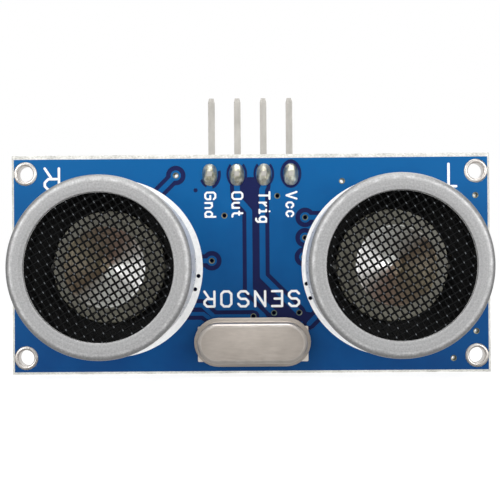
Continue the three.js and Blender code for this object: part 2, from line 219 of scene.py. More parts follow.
def turned(x, z, profile, sides=96):
    """Rings of a round body whose axis runs front to back. The profile lists (radius, y)."""
    smallest = 1e-4  # stands for a point on the axis
    return [at_depth(circle(x, z, max(radius, smallest), sides), y) for radius, y in profile]


# ---- flat artwork: copper, mask and print cut from outlines ----


def arrange(polygons):
    """Cuts the plane along all polygons: points, triangles, and the numbers of the polygons each lies in."""
    points = []
    faces = []
    for polygon in polygons:
        faces.append(list(range(len(points), len(points) + len(polygon))))
        points += [Vector(p) for p in polygon]
    points, _, triangles, _, _, inside = delaunay_2d_cdt(points, [], faces, 0, 1e-6)
    return points, triangles, [set(found) for found in inside]


def stepped_sheet(shape, face, points, triangles, levels, heights, floor, rim=None, marks=(0, 0)):
    """A closed sheet whose triangles stand at the height of their level, with a wall at every step.

    Level None is a hole. Rim is the height beyond the sheet, where that isn't its floor. Marks gives
    the material of each level.
    """
    keys = {}
    corners = []

    def corner(index, height):
        if (index, height) not in keys:
            keys[index, height] = len(corners)
            corners.append((points[index].x, off_face(face, height), points[index].y))
        return keys[index, height]

    neighbours = {}
    for triangle, level in zip(triangles, levels):
        for side in sides_of(triangle):
            neighbours[side] = heights[level] if level is not None else floor
    for triangle, level in zip(triangles, levels):
        if level is None:
            continue
        top = heights[level]
        faces = [[corner(i, top) for i in triangle], [corner(i, floor) for i in reversed(triangle)]]
        for a, b in sides_of(triangle):
            beyond = neighbours.get((b, a), floor if rim is None else rim)
            if beyond < top:
                faces.append([corner(a, top), corner(a, beyond), corner(b, beyond), corner(b, top)])
        shape.take([], faces, marks[level])
    shape.points += corners


def flat_layer(face, drawn, holes, low, high):
    """The union of the drawn polygons, less the holes, as a sheet between two heights over the face."""
    points, triangles, inside = arrange(drawn + holes)
    solid = set(range(len(drawn)))
    levels = [0 if found and found <= solid else None for found in inside]
    shape = Shape()
    stepped_sheet(shape, face, points, triangles, levels, [high], low)
    return shape


# ---- looks: Principled materials whose variation comes from procedural nodes ----


def rgb(red, green, blue):
    """A colour given as it shows on a screen, 0 to 255, in the linear values that Blender works in."""
    return [((value / 255 + 0.055) / 1.055) ** 2.4 for value in (red, green, blue)] + [1]


class Nodes:
    """Adds nodes to a tree. What goes into a node is a value or the output of another node."""

    def __init__(self, tree):
        self.tree = tree

    def node(self, kind, inputs, **settings):
        made = self.tree.nodes.new(f"ShaderNode{kind}")
        for key, value in settings.items():
            setattr(made, key, value)
        for key, value in inputs.items():
            if isinstance(value, bpy.types.NodeSocket):
                self.tree.links.new(value, made.inputs[key])
            else:
                made.inputs[key].default_value = value
        return made

    def out(self, kind, inputs, output=0, **settings):
        return self.node(kind, inputs, **settings).outputs[output]

    def math(self, operation, *values):
        return self.out("Math", dict(enumerate(values)), operation=operation)

    def vector(self, operation, *values, output=0):
        return self.out("VectorMath", dict(enumerate(values)), output, operation=operation)

    def axis(self, vector, letter):
        return self.out("SeparateXYZ", {0: vector}, letter)

    def spread(self, value, start, end, low=0, high=1):
        """Runs from low to high as the value runs from start to end."""
        return self.out("MapRange", {0: value, 1: start, 2: end, 3: low, 4: high})

    def ramp(self, value, stops):
        """The colour for a value from 0 to 1, from stops of (position, colour)."""
        made = self.node("ValToRGB", {0: value})
        elements = made.color_ramp.elements
        for element, (position, colour) in zip(elements, (stops[0], stops[-1])):
            element.position = position
            element.color = colour
        for position, colour in stops[1:-1]:
            elements.new(position).color = colour
        return made.outputs[0]


class Look(Nodes):
    """A material. Its colours are (red, green, blue) as they show on a screen."""

    def __init__(self, name, colour, roughness, metallic=0.0, constants=()):
        self.material = bpy.data.materials.new(name)
        self.material.use_nodes = True
        super().__init__(self.material.node_tree)
        self.shader = self.tree.nodes["Principled BSDF"]
        usual = (("Base Color", rgb(*colour)), ("Roughness", roughness), ("Metallic", metallic))
        for socket, value in (*usual, *constants):
            self.shader.inputs[socket].default_value = value
        self.place = self.out("TexCoord", {}, "Object")

    def join(self, value, socket):
        self.tree.links.new(value, self.shader.inputs[socket])
        return self

    def noise(self, grain, detail=2.0, stretch=(1, 1, 1), place=None):
        """Blotches about grain millimetres wide, longer along an axis whose stretch is under 1."""
        where = self.out("Mapping", {"Vector": place or self.place, "Scale": stretch})
        return self.out("TexNoise", {"Vector": where, "Scale": 1 / (grain * MM), "Detail": detail}, "Fac")

    def from_centre(self, node):
        x, z = place_of(node)
        return self.vector("SUBTRACT", self.place, (x * MM, 0, z * MM))

    def from_axis(self, node):
        """Coordinates for a turned piece: the distance from its axis, nothing, and the depth."""
        across = self.vector("MULTIPLY", self.from_centre(node), (1, 0, 1))
        radius = self.vector("LENGTH", across, output="Value")
        return self.out("CombineXYZ", {0: radius, 2: self.axis(self.place, "Y")})

    def around(self, node, start):
        """From 0 to 1 round a node's axis, counted from that many degrees towards +Z from +X."""
        turn = {"Vector": self.from_centre(node), "Axis": (0, 1, 0), "Angle": math.radians(start)}
        place = self.out("VectorRotate", turn, rotation_type="AXIS_ANGLE")
        # The joint of the two ends lies at the start, so both signs are turned round.
        up, along = (self.math("MULTIPLY", self.axis(place, letter), -1.0) for letter in "ZX")
        return self.spread(self.math("ARCTAN2", up, along), -math.pi, math.pi)

    def mixed(self, factor, first, second):
        return self.out("Mix", {0: factor, 2: first, 3: second}, data_type="FLOAT")

    def paint(self, factor, *stops):
        """Colours the surface from a ramp of (position, colour)."""
        linear = [(position, rgb(*colour)) for position, colour in stops]
        return self.join(self.ramp(factor, linear), "Base Color")

    def gloss(self, factor, low, high):
        """Lets the roughness run from low to high as the factor goes over the middle of its range."""
        return self.join(self.spread(factor, 0.3, 0.7, low, high), "Roughness")

    def relief(self, factor, depth):
        """Bumps that many millimetres deep, on top of any that are there."""
        bump = {"Height": factor, "Distance": depth * MM, "Strength": 1.0}
        for link in self.shader.inputs["Normal"].links:
            bump["Normal"] = link.from_socket
        return self.join(self.out("Bump", bump), "Normal")


def laminate_look():
    look = Look("laminate", (228, 224, 210), 0.65)
    fibres = look.noise(0.12, 3, (0.3, 1, 1))
    speckle = look.mixed(0.5, look.noise(1.5, 4), look.noise(0.2, 3))
    look.paint(speckle, (0.35, (178, 178, 172)), (0.62, (236, 235, 229)))
    return look.gloss(fibres, 0.55, 0.8).relief(fibres, 0.02).material


def mask_look(name, dark, light):
    """Glossy solder mask, painted lighter towards the top edge as painted light from above. The glass weave
    under it shows faintly.
    """
    look = Look(name, light, 0.35, constants=[("Specular IOR Level", 0.12)])
    # painted light: the mask's colour runs lighter towards the top edge of the board
    painted_top_light = look.spread(look.axis(look.place, "Z"), BOARD_LOW.z * MM, BOARD_HIGH.z * MM)
    look.paint(look.mixed(0.6, look.noise(3, 4), painted_top_light), (0.2, dark), (0.75, light))
    weave = look.noise(0.35, 1, (0.4, 1, 1))
    return look.gloss(look.noise(0.8, 3), 0.3, 0.42).relief(weave, 0.002).material


def ink_look():
    look = Look("white_ink", (243, 246, 246), 0.5)
    look.paint(look.noise(0.4, 3), (0.3, (238, 240, 240)), (0.6, (252, 252, 252)))
    return look.gloss(look.noise(0.2), 0.45, 0.6).relief(look.noise(0.1), 0.002).material


def can_face_look(node, edge):
    """The front of a can: matt, with faint rings from the die, and a painted highlight where its edge begins.
    """
    look = Look(f"{node}_face", (180, 180, 180), 0.45, 1.0)
    mottle = look.noise(0.16, 5)
    turned_place = look.from_axis(node)
    rings = look.noise(0.12, 2, (1, 1, 0.02), turned_place)
    from_edge = look.math("ABSOLUTE", look.math("SUBTRACT", look.axis(turned_place, "X"), edge * MM))
    # painted highlight: a patchy bright line where the shoulder begins
    highlight_band = look.spread(from_edge, 0.2 * MM, 0.05 * MM, 0, 0.35)
    painted_edge_highlight = look.math("MULTIPLY", highlight_band, look.spread(look.noise(0.8, 4), 0.25, 0.65))
    shade = look.math("ADD", look.mixed(0.25, mottle, rings), painted_edge_highlight)
    look.paint(shade, (0.3, (156, 156, 157)), (0.7, (200, 200, 200)), (1.0, (234, 234, 234)))
    return look.gloss(mottle, 0.46, 0.6).relief(rings, 0.002).relief(mottle, 0.004).material


def can_side_look():
    """The drawn side of a can: bright, with streaks that run front to back."""
    look = Look("can_side", (236, 236, 235), 0.3, 0.3)
    streaks = look.noise(0.25, 3, (1, 0.04, 1))
    look.paint(streaks, (0.3, (224, 225, 225)), (0.65, (244, 244, 243)))
    return look.gloss(streaks, 0.26, 0.38).relief(streaks, 0.002).material


def cone_look(node, start):
    """Spun aluminium with painted light: a painted lit half with a painted highlight streak for half a turn
    from the start, and painted brown shade for the rest.
    """
    look = Look(f"{node}_metal", (220, 218, 214), 0.3, 0.35)
    rings = look.noise(0.2, 2, (1, 1, 0.3), look.from_axis(node))
    # painted light: the lit half, its white highlight streak and the brown shaded half are colours laid round
    # the axis
    painted_lit_half = [(0.06, (146, 144, 138)), (0.15, (176, 178, 174)), (0.28, (176, 177, 174))]
    painted_highlight_streak = [(0.33, (255, 255, 255)), (0.41, (255, 255, 255)), (0.45, (168, 166, 162))]
    painted_brown_shade = [(0.51, (122, 110, 102)), (0.56, (106, 87, 77)), (0.8, (101, 93, 73)), (0.97, (98, 84, 68))]
    turn = look.mixed(0.05, look.around(node, start), look.noise(0.5, 3))
    look.paint(turn, (0.02, (98, 84, 68)), *painted_lit_half, *painted_highlight_streak, *painted_brown_shade)
    return look.gloss(rings, 0.25, 0.4).relief(rings, 0.006).material


def diaphragm_look(node):
    look = Look(f"{node}_metal", (110, 107, 98), 0.6)
    rings = look.noise(0.3, 2, (1, 1, 0.3), look.from_axis(node))
    look.paint(look.noise(1.2, 4), (0.3, (87, 85, 74)), (0.7, (104, 102, 90)))
    return look.gloss(rings, 0.5, 0.65).relief(rings, 0.004).material


def wire_look(front):
    """Black lacquer, with painted glints: lighter, metallic patches where the wires stand out to front, a y
    in millimetres.
    """
    look = Look("black_wire", (12, 13, 14), 0.5, constants=[("Specular IOR Level", 0.1)])
    # painted glint: the front crests are painted lighter and made metallic, so the lamps glint off them too
    glint_patch = look.spread(look.axis(look.place, "Y"), (front + 0.005) * MM, (front + 0.001) * MM)
    look.join(glint_patch, "Metallic")
    shade = look.math("ADD", look.math("MULTIPLY", look.noise(0.3, 3), 0.12), glint_patch)
    look.paint(shade, (0.0, (3, 4, 5)), (0.12, (12, 13, 14)), (1.0, (104, 107, 110)))
    return look.gloss(look.noise(0.15), 0.4, 0.6).relief(look.noise(0.05), 0.003).material


def moulded_look(name, dark, light, grain=0.15):
    """Moulded plastic or epoxy with a fine sparked texture."""
    look = Look(name, light, 0.55)
    look.paint(look.noise(2, 4), (0.3, dark), (0.7, light))
    fine = look.noise(grain, 3)
    return look.gloss(fine, 0.5, 0.68).relief(fine, 0.006).material


def metal_look(name, dark, light, smooth, rough, grain=0.3, stretch=(1, 1, 1), depth=0.003):
    """Plated metal: its grain shows in colour, gloss and relief."""
    look = Look(name, light, rough, 1.0)
    lines = look.noise(grain, 3, stretch)
    look.paint(look.mixed(0.5, lines, look.noise(1.8, 3)), (0.35, dark), (0.65, light))
    return look.gloss(lines, smooth, rough).relief(lines, depth).material


def ceramic_look(name, dark, light):
    look = Look(name, light, 0.4)
    look.paint(look.noise(0.2, 4), (0.35, dark), (0.65, light))
    return look.gloss(look.noise(0.3), 0.3, 0.5).relief(look.noise(0.08), 0.004).material


WIRE_RADIUS = 0.094  # the wires are six-sided, with a flat side to the front
WIRE_FRONT = box_mm("receiver_screen")[0].y + WIRE_RADIUS * (1 - math.cos(math.pi / 6))

LAMINATE = laminate_look()
MASK = mask_look("mask_over_copper", (3, 64, 120), (4, 90, 150))
MASK_GAP = mask_look("mask_over_laminate", (14, 22, 64), (22, 30, 78))
INK = ink_look()
CAN_SIDE = can_side_look()
WIRE = wire_look(WIRE_FRONT)
BLACK_PLASTIC = moulded_look("black_plastic", (18, 18, 19), (32, 32, 33))
CAN_FLOOR = moulded_look("transducer_base", (4, 4, 4), (9, 9, 9))
# painted shade: the inside of the can is painted near-black plastic, since the screens cast no shadow into it
CAN_INSIDE_SHADE = moulded_look("can_inside_painted_shade", (18, 18, 18), (28, 28, 27))
EPOXY = moulded_look("chip_epoxy", (26, 27, 29), (44, 45, 47), 0.08)
SPACER = moulded_look("spacer_plastic", (222, 212, 200), (240, 232, 222))
SILICONE = moulded_look("silicone", (205, 205, 200), (225, 225, 221))
PIN_TIN = metal_look("pin_tin", (184, 181, 175), (204, 201, 195), 0.42, 0.58, 0.25, (1, 1, 0.2))
LEAD_TIN = metal_look("lead_tin", (188, 188, 184), (214, 214, 210), 0.25, 0.45)
PAD_TIN = metal_look("pad_tin", (206, 200, 194), (228, 223, 218), 0.24, 0.36, 0.9, depth=0.004)
SOLDER = metal_look("solder", (160, 156, 134), (236, 236, 222), 0.28, 0.42, 0.26, depth=0.045)
VIA_METAL = metal_look("via_metal", (78, 104, 106), (160, 152, 126), 0.3, 0.42, 1.2)
STEEL_DARK, STEEL_LIGHT = (190, 181, 172), (204, 195, 186)
CASE_STEEL = metal_look("crystal_steel", STEEL_DARK, STEEL_LIGHT, 0.38, 0.5, 0.15, (0.2, 1, 1), 0.0015)
# partly painted highlight: the shoulder of the crystal's cover is a lighter copy of its steel, and smoother,
# so it also catches the top light
CASE_EDGE_HIGHLIGHT = metal_look("crystal_edge_highlight", (204, 196, 188), (220, 213, 206), 0.32, 0.44, 0.6, depth=0.0006)
CAPACITOR = ceramic_look("capacitor_ceramic", (138, 104, 70), (164, 128, 90))
RESISTOR = ceramic_look("resistor_film", (16, 16, 18), (30, 30, 34))
ALUMINA = ceramic_look("piezo_ceramic", (214, 208, 192), (230, 226, 214))


# ---- circuit board ----

PAIR = ("receiver", "transmitter")  # the two transducers
PIN_USES = ("signal", "ground")
TRANSDUCERS = [place_of(f"{name}_can") for name in PAIR]
TRANSDUCER_PINS = [place_of(f"{name}_pin_{use}") for name in PAIR for use in PIN_USES]
CRYSTAL_LEADS = [place_of(f"crystal_lead_{i}") for i in (1, 2)]
HEADER_Z = place_of("header_body")[1]
HEADER_PINS = [(place_of(f"header_pin_{i}")[0], HEADER_Z) for i in range(1, 5)]
SCREW_NODES = [f"screw_hole_{row}_{side}" for row in ("lower", "upper") for side in ("left", "right")]
SCREW_HOLES = [place_of(node) for node in SCREW_NODES]

VIA_RADIUS = 0.3
VIA_BORE = 0.19
FILLED_VIAS = [(-3.67, 0.37), (-2.46, 4.6), (2.52, 6.42), (5.12, 4.38), (5.1, 2.47), (5.02, 0.67)]
FILLED_VIAS += [(2.14, -4.57), (4.5, -4.55), (0.2, -4.87)]
OPEN_VIAS = [(-7.0, 8.4), (8.6, 7.78), (21.1, 6.36), (21.1, -6.38), (18.95, -8.9)]
INKED_VIAS = [(-4.93, -1.05), (-5.25, -2.3), (5.2, -1.85), (5.55, -3.2)]  # covered by the printed discs
ALL_VIAS = FILLED_VIAS + OPEN_VIAS + INKED_VIAS

OVAL = 0.68  # the width of the pads of the header for a height of 1
MASK_TOP = 0.045  # heights over the face of the board
GAP_TOP = 0.015
INK_TOP = 0.06
EDGE_BEVEL = 0.24  # the board is snapped from its panel along V-shaped grooves
EDGE_DEPTH = 0.4
EDGE_STEP = 0.4  # between the points along the edge
HALF_LENGTH = 22  # about half the board's size, so that wear is in millimetres
HALF_HEIGHT = 10


def board_rectangle(inset):
    middle = (BOARD_LOW + BOARD_HIGH) / 2
    size = BOARD_HIGH - BOARD_LOW
    return rectangle(middle.x, middle.z, size.x - 2 * inset, size.z - 2 * inset)


def drill_holes():
    holes = circles(SCREW_HOLES, 0.88, 40) + circles(HEADER_PINS, 0.5) + circles(TRANSDUCER_PINS, 0.55)
    return holes + circles(CRYSTAL_LEADS, 0.27, 16) + circles(ALL_VIAS, VIA_BORE + 0.02, 16)


def subdivided(polygon, parts):
    """The polygon with its sides cut into those numbers of parts."""
    points = []
    for (a, b), count in zip(sides_of(polygon), parts):
        points += [(a[0] + (b[0] - a[0]) * i / count, a[1] + (b[1] - a[1]) * i / count) for i in range(count)]
    return points


def board_core():
    """The laminate. Its edges slope to the rough break between two grooves, which stands out at the top."""
    shape = Shape()
    corners = board_rectangle(0)
    parts = [round(math.dist(a, b) / EDGE_STEP) for a, b in sides_of(corners)]
    face_outline = subdivided(board_rectangle(EDGE_BEVEL), parts)
    full_outline = subdivided(corners, parts)
    thickness = BOARD_BACK - BOARD_FRONT
    points, triangles, inside = arrange([face_outline, *drill_holes()])
    levels = [0 if found == {0} else None for found in inside]
    stepped_sheet(shape, FRONT, points, triangles, levels, [0], -thickness, rim=0)
    rings = []
    for outline, depth, wear, ridge in (
        (face_outline, 0, 0, 0),
        (full_outline, EDGE_DEPTH, 0.03, 0.14),
        (full_outline, thickness / 2, 0.05, 0.16),
        (full_outline, thickness - EDGE_DEPTH, 0.03, 0.14),
        (face_outline, thickness, 0, 0),
    ):
        top = max(z for _, z in outline)
        ring = []
        for x, z in outline:
            worn_x = x * (1 - wear * random.random() / HALF_LENGTH)
            worn_z = z * (1 - wear * random.random() / HALF_HEIGHT)
            ring.append((worn_x, BOARD_FRONT + depth, worn_z + ridge if z == top else worn_z))
        rings.append(ring)
    shape.rings(rings, capped=False)
    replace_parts(shape.piece("board_laminate", [LAMINATE], "board_laminate", smooth=0.5), "circuit_board")


# ---- copper under the mask: each trace is an island of copper in a gap of bare laminate ----

CLEARANCE = 0.38


def traces(routes):
    """Traces given as (width, points): the outlines of their copper, and of the wider gaps round it."""
    copper = []
    gaps = []
    for width, points in routes:
        copper += path(points, width)
        gaps += path(points, width + 2 * CLEARANCE)
    return copper, gaps


def ring_part(pin, inner, outer, start, end, squeeze):
    """Part of a ring round a header pin, between two angles."""
    steps = 20
    x, z = HEADER_PINS[pin]
    points = arc(0, 0, outer, start, end, steps) + arc(0, 0, inner, end, start, steps)
    return [(x + a * squeeze, z + b) for a, b in points]


def front_copper():
    """The front: traces and vias with their gaps, and the gaps that part the pins from the copper."""
    routes = [
        (0.55, [(HEADER_PINS[1][0], 7.4), (-1.2, 6.25), (-0.12, 5.0), (-0.12, -2.4), (2.14, -4.57)]),
        (0.55, [(HEADER_PINS[2][0], 7.4), (1.1, 7.0), (1.1, -1.15), (4.5, -4.55)]),
        (0.4, [(0.2, -4.87), (-3.5, -4.87), (-4.6, -3.8), (-6, -3.8)]),
        (0.35, [(-3.2, -5.6), (-4.5, -4.6), (-6, -4.6)]),
        (0.45, [(5.4, -5.6), (7.4, -3.6)]),
    ]
    copper, gaps = traces(routes)
    gaps += [
        [(-0.45, 8.2), (-0.8, 7.2), (-0.5, 6.0), (0.3, 4.6), (0.9, 4.6), (0.9, 7.2), (0.5, 8.2)],
        [(0.1, 4.8), (0.1, -2.6), (0.9, -1.2), (0.9, 4.8)],
        [(0.1, -1.0), (-0.2, -2.6), (1.8, -5.4), (5.6, -5.4), (5.9, -4.6), (4.8, -4.4), (1.2, -1.3)],
    ]
    via_routes = [((x, z), (x + 2.5, z)) for x, z in ((5.12, 4.38), (5.1, 2.47), (5.02, 0.67))]
    via_routes += [((-3.67, 0.37), (-6.5, 0.37)), ((-7.0, 8.4), (-8.8, 6.6))]
    for via, far_end in via_routes:
        island, gap = traces([(0.45, [via, far_end])])
        copper += [*island, circle(*via, 0.48)]
        gaps += [*gap, circle(*via, 0.92, 32)]
    gaps.append(circle(-5.15, 7.0, 0.2))
    gaps += [ring_part(0, 1.02, 1.32, 205, 250, 0.75), ring_part(0, 1.02, 1.4, 285, 375, 0.75)]
    for pin in (1, 2):
        gaps += [ring_part(pin, 1.0, 1.28, start, start + 120, 0.76) for start in (130, -70)]
    gaps += [ring_part(3, 1.0, 1.34, start, start + 180, 0.74) for start in (0, 180)]
    return copper, gaps


def back_copper():
    """The traces of the back run from the chips' feet to the vias and to the header."""
    routes = [
        [(-3.81, 8.5), (-3.81, 6.6), (-2.46, 5.2), (-2.46, 4.6)],
        [(-1.27, 8.5), (-1.27, 2.6), (-2.5, 1.4), (-3.2, 0.9), (-3.2, -0.2)],
        [(1.27, 8.5), (1.27, 1.6), (0.65, 1.0), (0.65, -0.2)],
        [(3.81, 8.5), (2.52, 7.2), (2.52, 6.42)],
        [(2.14, -4.57), (2.14, -5.6), (1.9, -5.8)],
        [(4.5, -4.55), (5.6, -4.0), (7.2, -4.0), (8.6, -3.0), (9.8, -3.0)],
        [(-3.67, 0.37), (-5.6, 0.37), (-7.4, -1.4), (-9.8, -1.4)],
        [(5.12, 4.38), (6.0, 4.38), (7.2, 3.2), (9.8, 3.2)],
        [(5.1, 2.47), (7.0, 1.9), (9.8, 1.9)],
        [(5.02, 0.67), (9.8, 0.67)],
        [(-7.0, 8.4), (-9.6, 8.4), (-9.6, 7.6)],
        [(8.6, 7.78), (11.2, 5.4), (16.4, 5.4), (18, 3.8), (18, 0.5)],
        [(-2.34, -7.25), (-4.4, -7.25), (-5.6, -6.0), (-5.0, -5.9)],
        [(2.54, -7.25), (4.4, -7.25), (5.0, -6.4), (3.2, -5.9)],
        [(-16.3, 7.6), (-16.3, 9.2), (-12.0, 9.2), (-11.9, 7.6)],
        [(10.8, -8.0), (10.8, -9.2), (15.2, -9.2), (15.2, -8.0)],
    ]
    return traces([(0.3, points) for points in routes])


def mask_openings():
    openings = circles(SCREW_HOLES, 1.12, 40)
    openings += [[(x + a * OVAL, z + b) for a, b in circle(0, 0, 0.98, 36)] for x, z in HEADER_PINS]
    openings += circles(TRANSDUCER_PINS, 1.0, 32) + circles(CRYSTAL_LEADS, 0.7)
    return openings + circles(ALL_VIAS, VIA_RADIUS - 0.01, 20)


def mask_sheet(name, face, copper, gaps):
    """Solder mask: high over copper, low over bare laminate, open over pads and holes."""
    outline = board_rectangle(EDGE_BEVEL + 0.03)
    points, triangles, inside = arrange([outline, *copper, *gaps, *mask_openings()])
    first_gap = 1 + len(copper)
    first_opening = first_gap + len(gaps)

    def level_of(found):
        if 0 not in found or max(found) >= first_opening:
            return None
        over_trace = any(1 <= i < first_gap for i in found)
        return 1 if max(found) >= first_gap and not over_trace else 0

    shape = Shape()
    levels = [level_of(found) for found in inside]
    stepped_sheet(shape, face, points, triangles, levels, [MASK_TOP, GAP_TOP], 0, marks=(0, 1))
    shape.piece(name, [MASK, MASK_GAP], "board_laminate", smooth=0.3)


# ---- printed marks ----

# Each letter's strokes as the column and row of their corners. The base line is row 2; capitals reach row 8.
GLYPHS = {
    "G": "47 38 18 07 03 12 32 43 45 25",
    "O": "18 38 47 43 32 12 03 07 18",
    "T": "08 48/28 22",
    "V": "08 22 48",
    "S": "47 38 18 07 06 15 35 44 43 32 12 03",
    "E": "48 08 02 42/05 35",
    "N": "02 08 42 48",
    "R": "02 08 38 47 46 35 05/25 42",
    "n": "02 06/05 16 26 35 32",
    "d": "38 32/35 26 16 05 03 12 22 33",
    "u": "06 03 12 22 33/36 32",
    "t": "18 13 22 32/06 26",
    "r": "02 06/04 15 26",
    "i": "06 16 12/02 22/18 18",
    "g": "36 31 20 10/35 26 16 05 03 12 22 33",
    "c": "35 26 16 05 03 12 22 33",
}
LETTER_ROWS = 6


def letter_sizes(text):
    """How many columns of the grid each letter takes."""
    return [4 if letter.isupper() else 2 if letter in "ir" else 3 for letter in text]


def word_length(text, height, gap):
    return (sum(letter_sizes(text)) + gap * (len(text) - 1)) * height / LETTER_ROWS


def lettering(text, x, z, height, turn, width, gap=2.0):
    """The strokes, of that width, of a word centred at (x, z) and turned by that many degrees."""
    unit = height / LETTER_ROWS
    start = -word_length(text, height, gap) / unit / 2
    cos, sin = math.cos(math.radians(turn)), math.sin(math.radians(turn))
    strokes = []
    for letter, size in zip(text, letter_sizes(text)):
        for line in GLYPHS[letter].split("/"):
            corners = []
            for column, row in line.split():
                a = (start + int(column)) * unit
                b = (int(row) - 5) * unit
                corners.append((x + a * cos - b * sin, z + a * sin + b * cos))
            strokes += path(corners, width)
        start += size + gap
    return strokes


def printed_front():
    """The words by the pins say what each does; R and T mark the receiver and the transmitter."""
    marks = []
    word_height, word_gap, word_top = 0.95, 2.2, 6.78
    for word, (x, _) in zip(("Gnd", "Out", "Trig", "Vcc"), HEADER_PINS):
        middle = word_top - word_length(word, word_height, word_gap) / 2
        marks += lettering(word, x + 0.04, middle, word_height, -90, 0.18, word_gap)
    marks += lettering("SENSOR", 0.05, -3.22, 1.4, 180, 0.22, 2.8)
    marks += lettering("R", -18.65, 8.15, 2.0, 180, 0.23)
    marks += lettering("T", 18.6, 8.25, 2.1, 180, 0.24)
    offset = 0.12  # the printed discs are a little out of line with the cans
    discs = circles([(x + offset, z - offset) for x, z in TRANSDUCERS], 8.36, 128)
    holes = circles(TRANSDUCERS, 7.7, 96) + circles(INKED_VIAS, VIA_BORE, 20)
    print_layer = flat_layer(FRONT, discs + marks, holes, GAP_TOP, INK_TOP)
    print_layer.piece("printed_front", [INK], "board_laminate", smooth=0.3)


def frame_strokes(node, margin, width):
    """A printed rectangle round a part."""
    low, high = box_mm(node)
    size = (high.x - low.x + 2 * margin, high.z - low.z + 2 * margin)
    corners = rectangle((low.x + high.x) / 2, (low.z + high.z) / 2, *size)
    return path(corners + corners[:1], width)


CAPACITORS = [f"capacitor_{i}" for i in range(1, 6)]
RESISTORS = [f"resistor_{i}" for i in range(1, 8)]


def printed_back():
    marks = []
    for node in CAPACITORS + RESISTORS:
        marks += frame_strokes(node, 0.28, 0.12)
    marks += frame_strokes("header_body", 0.2, 0.15)
    for ring in circles(TRANSDUCERS, 8.1, 96):
        marks += path(ring + ring[:1], 0.15)
    print_layer = flat_layer(BACK, marks, mask_openings(), GAP_TOP, INK_TOP)
    print_layer.piece("printed_back", [INK], "board_laminate", smooth=0.3)


# ---- plated holes and solder ----


def plated_hole(shape, place, land, bore, sides):
    """The land of a hole on both faces, given as (radius, height), and the barrel that joins them."""
    profile = over_face(FRONT, land) + over_face(BACK, land)[::-1]
    profile += [(bore, BOARD_BACK), (bore, BOARD_FRONT)]
    shape.rings(turned(*place, profile, sides), closed=True)


def screw_rings():
    """Plated holes whose tinned rings are slightly domed on both faces."""
    for node in SCREW_NODES:
        low, high = box_mm(node)
        outer = (high.x - low.x) / 2
        bore = 0.75
        dome = [(outer, 0), (outer, 0.03), (outer - 0.04, 0.07), (outer - 0.12, 0.1), (bore + 0.1, 0.1)]
        dome += [(bore + 0.03, 0.07), (bore, 0.02)]
        shape = Shape()
        plated_hole(shape, place_of(node), dome, 0.86, 64)
        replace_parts(shape.piece(node + "_ring", [PAD_TIN], "tin_plating", smooth=1.2), node)


def via_barrels():
    """The plated ring of every via on both faces, with the barrel that joins them."""
    shape = Shape()
    land = [(VIA_RADIUS, 0), (VIA_RADIUS - 0.02, 0.035), (VIA_BORE + 0.02, 0.035), (VIA_BORE, 0.015)]
    for via in ALL_VIAS:
        plated_hole(shape, via, land, VIA_BORE + 0.015, 20)
    shape.piece("via_barrels", [VIA_METAL], "tin_plating", smooth=1.0)


def via_fill():
    """Solder mask has run into most of the vias and closes them in the middle of the board."""
    shape = Shape()
    middle = (BOARD_FRONT + BOARD_BACK) / 2
    radius = VIA_BORE + 0.01
    front = [(0.01, middle - 0.1), (0.1, middle - 0.14), (radius, middle - 0.35)]
    back = [(radius, middle + 0.35), (0.1, middle + 0.14), (0.01, middle + 0.1)]
    for x, z in FILLED_VIAS + INKED_VIAS:
        shape.rings(turned(x, z, front + back, 16))
    shape.piece("via_fill", [MASK_GAP], "board_laminate", smooth=1.0)


LUMP = 0.04  # how far the surface of a solder joint rises and falls
SQUARENESS = 0.84  # a joint's outline is a full oval: 1 would make it a plain one


def solder_joint(shape, x, z, face, pad, tip, rise, squeeze=1.0):
    """A lumpy mound of solder that climbs from a pad of one radius to a lead's tip of another."""
    phase = random.uniform(0, 2 * math.pi)
    steps = 14
    sides = 40
    profile = [(0, pad, 0)]
    for i in range(steps + 1):
        share = i / steps
        height = MASK_TOP + rise * (0.3 * share + 0.7 * math.sin(math.pi / 2 * share))
        profile.append((share, pad + (tip - pad) * share, height))
    profile.append((1, tip * 0.6, MASK_TOP + rise * 1.03))
    rings = []
    for share, radius, height in profile:
        ring = []
        for turn in (2 * math.pi * i / sides for i in range(sides)):
            lump = LUMP * math.sin(math.pi * share) * math.sin(3 * turn + phase + 5 * share)
            ways = (math.cos(turn), math.sin(turn))
            across, along = (math.copysign(abs(way) ** SQUARENESS, way) for way in ways)
            ring.append((x + radius * squeeze * across, off_face(face, height + lump), z + radius * along))
        rings.append(ring)
    shape.rings(rings)


def header_joints():
    """On the front the solder hangs a little below the pins; on the back it is a low collar."""
    shape = Shape()
    collar = over_face(BACK, [(0.62, 0), (0.9, 0.0), (0.62, 0.2), (0.36, 0.35)])
    for x, z in HEADER_PINS:
        solder_joint(shape, x, z - 0.07, FRONT, pad=1.04, tip=0.26, rise=0.6, squeeze=OVAL)
        shape.rings(turned(x, z, collar, 32))
    shape.piece("header_solder", [SOLDER], "tin_plating", smooth=1.2)


def back_joints():
    shape = Shape()
    for x, z in TRANSDUCER_PINS:
        solder_joint(shape, x, z, BACK, pad=1.0, tip=0.52, rise=0.75)
    for x, z in CRYSTAL_LEADS:
        solder_joint(shape, x, z, BACK, pad=0.7, tip=0.24, rise=0.7)
    shape.piece("through_hole_solder", [SOLDER], "tin_plating", smooth=1.2)


# ---- transducers ----


def replace_turned(node, name, profile, materials, slot, sides=128, marks=None, smooth=0.6):
    """A finer turned piece in a CAD node's place, from a closed profile of (radius, height)."""
    shape = Shape()
    rings = turned(*place_of(node), over_face(FRONT, profile), sides)
    for i, ring in enumerate(rings):
        following = rings[(i + 1) % len(rings)]
        shape.rings([ring, following], mark=marks[i] if marks else 0, capped=False)
    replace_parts(shape.piece(name, materials, slot, smooth), node)


